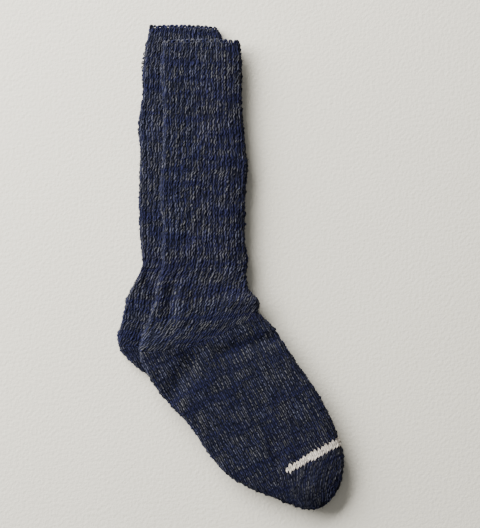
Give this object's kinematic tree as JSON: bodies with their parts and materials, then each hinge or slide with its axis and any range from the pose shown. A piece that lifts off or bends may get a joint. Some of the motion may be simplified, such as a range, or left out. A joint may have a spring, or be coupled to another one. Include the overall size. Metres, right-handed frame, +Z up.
{
  "type": "pair of slipper socks",
  "caption": "Pair of chunky marled knit slipper socks laid flat, one lying on the other, with ribbed legs, turned heels and closed round toes.",
  "frame": {"origin": "centre of the pair's outline, on the surface that the socks lie on", "axes": "+Z up, +Y towards the cuffs, +X to the right as the pair is seen from above"},
  "size_m": [0.2156, 0.459, 0.0168],
  "materials": {
    "marled_knit": "matte chunky marled wool knit, navy with grey flecks"
  },
  "bodies": {
    "root": {"sock_upper_leg": "marled_knit", "sock_upper_foot": "marled_knit", "sock_lower_leg": "marled_knit", "sock_lower_foot": "marled_knit"}
  },
  "joints": []
}
